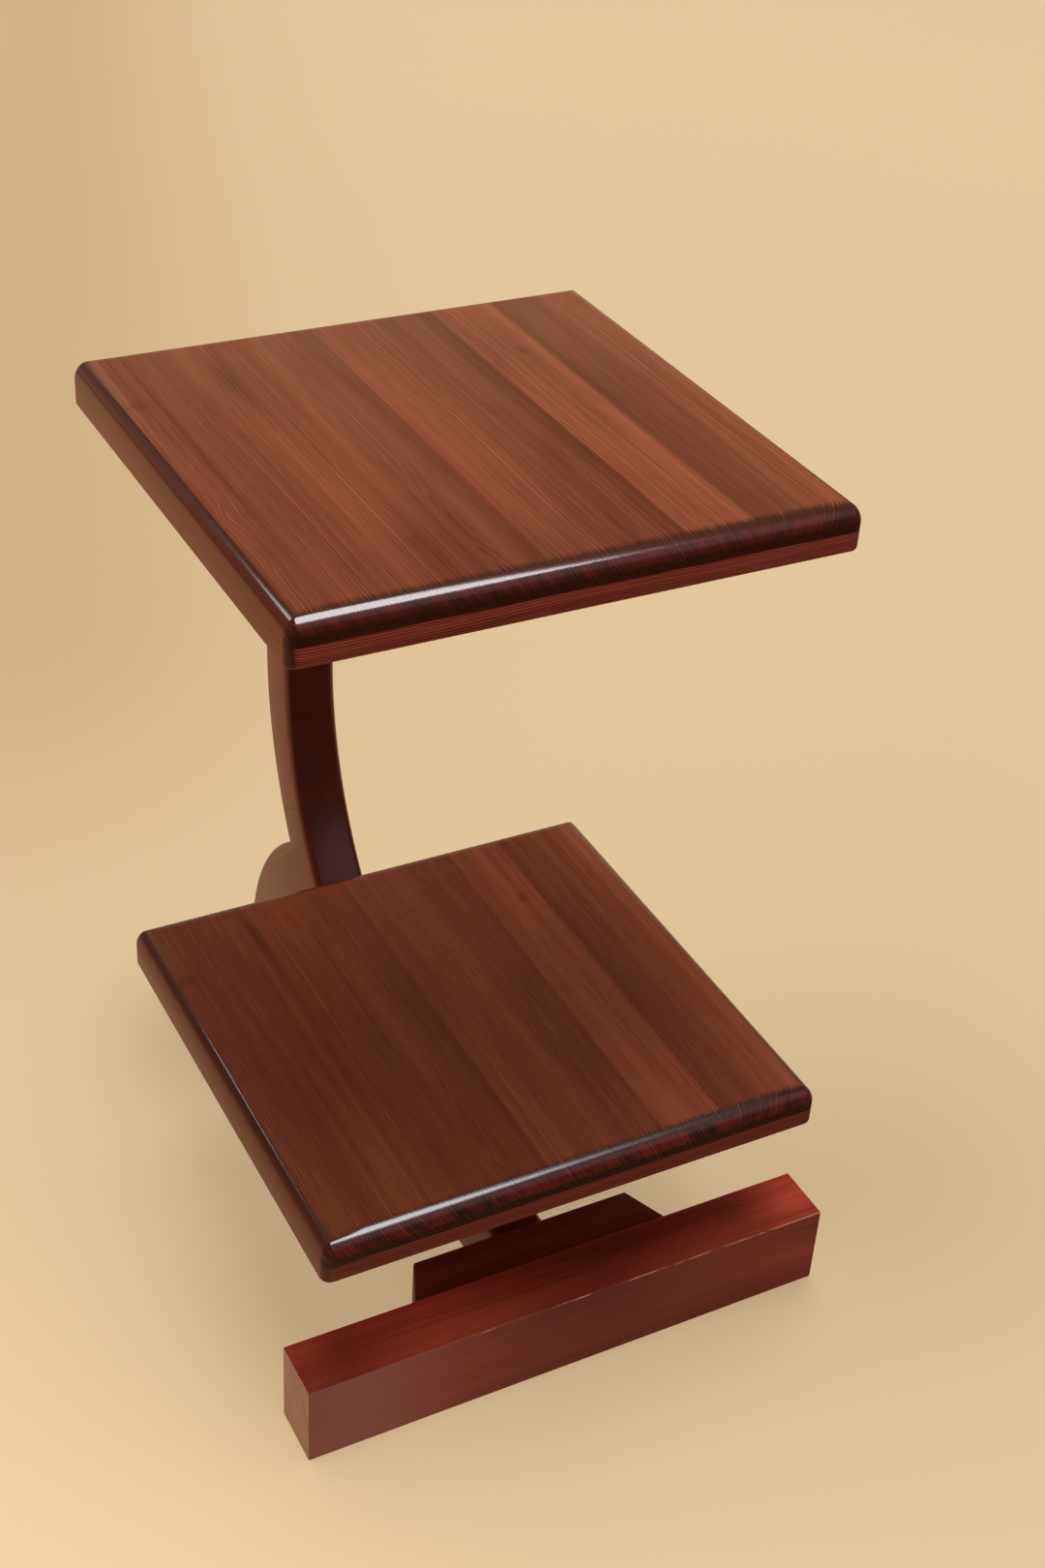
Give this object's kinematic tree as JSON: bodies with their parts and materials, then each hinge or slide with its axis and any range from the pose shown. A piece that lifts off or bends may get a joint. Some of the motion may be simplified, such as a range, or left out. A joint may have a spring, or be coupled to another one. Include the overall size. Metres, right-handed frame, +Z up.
{
  "type": "two-tier occasional table",
  "caption": "Low two-tier side table of stained, lacquered wood: two square tops cantilevered forward from a C-shaped rear post on a T-shaped base.",
  "frame": {"origin": "on the floor under the middle of the table's bounding box", "axes": "+Z up; +Y to the back, where the post stands; +X to the right seen from the front"},
  "size_m": [0.4244, 0.5914, 0.649],
  "materials": {
    "stained_top_wood": "red-brown stain under gloss lacquer, grain showing",
    "stained_frame_wood": "dark red-brown stain under gloss lacquer",
    "bare_beech": "bare, glued in",
    "zinc_plated_steel": "zinc plated"
  },
  "bodies": {
    "root": {"top_stave_1": "stained_top_wood", "top_stave_2": "stained_top_wood", "top_stave_3": "stained_top_wood", "top_stave_4": "stained_top_wood", "top_stave_5": "stained_top_wood", "top_stave_6": "stained_top_wood", "top_stave_7": "stained_top_wood", "top_stave_8": "stained_top_wood", "top_stave_9": "stained_top_wood", "top_lipping_front": "stained_top_wood", "top_lipping_back": "stained_top_wood", "top_lipping_left": "stained_top_wood", "top_lipping_right": "stained_top_wood", "top_cleat_front": "stained_frame_wood", "top_cleat_front_screw_1": "zinc_plated_steel", "top_cleat_front_screw_2": "zinc_plated_steel", "top_cleat_back": "stained_frame_wood", "top_cleat_back_screw_1": "zinc_plated_steel", "top_cleat_back_screw_2": "zinc_plated_steel", "shelf_stave_1": "stained_top_wood", "shelf_stave_2": "stained_top_wood", "shelf_stave_3": "stained_top_wood", "shelf_stave_4": "stained_top_wood", "shelf_stave_5": "stained_top_wood", "shelf_stave_6": "stained_top_wood", "shelf_stave_7": "stained_top_wood", "shelf_stave_8": "stained_top_wood", "shelf_stave_9": "stained_top_wood", "shelf_lipping_front": "stained_top_wood", "shelf_lipping_back": "stained_top_wood", "shelf_lipping_left": "stained_top_wood", "shelf_lipping_right": "stained_top_wood", "shelf_cleat_front": "stained_frame_wood", "shelf_cleat_front_screw_1": "zinc_plated_steel", "shelf_cleat_front_screw_2": "zinc_plated_steel", "shelf_cleat_back": "stained_frame_wood", "shelf_cleat_back_screw_1": "zinc_plated_steel", "shelf_cleat_back_screw_2": "zinc_plated_steel", "foot_bar": "stained_frame_wood", "spreader_block": "stained_frame_wood", "base_rail": "stained_frame_wood", "heel_block": "stained_frame_wood", "post_lower": "stained_frame_wood", "post_upper": "stained_frame_wood", "top_arm": "stained_frame_wood", "shelf_riser": "stained_frame_wood", "post_tenon_lower": "bare_beech", "post_tenon_middle": "bare_beech", "post_tenon_upper": "bare_beech", "heel_tenon": "bare_beech", "riser_tenon": "bare_beech", "block_screw_1": "zinc_plated_steel", "block_screw_2": "zinc_plated_steel", "block_screw_3": "zinc_plated_steel", "block_screw_4": "zinc_plated_steel"}
  },
  "joints": []
}
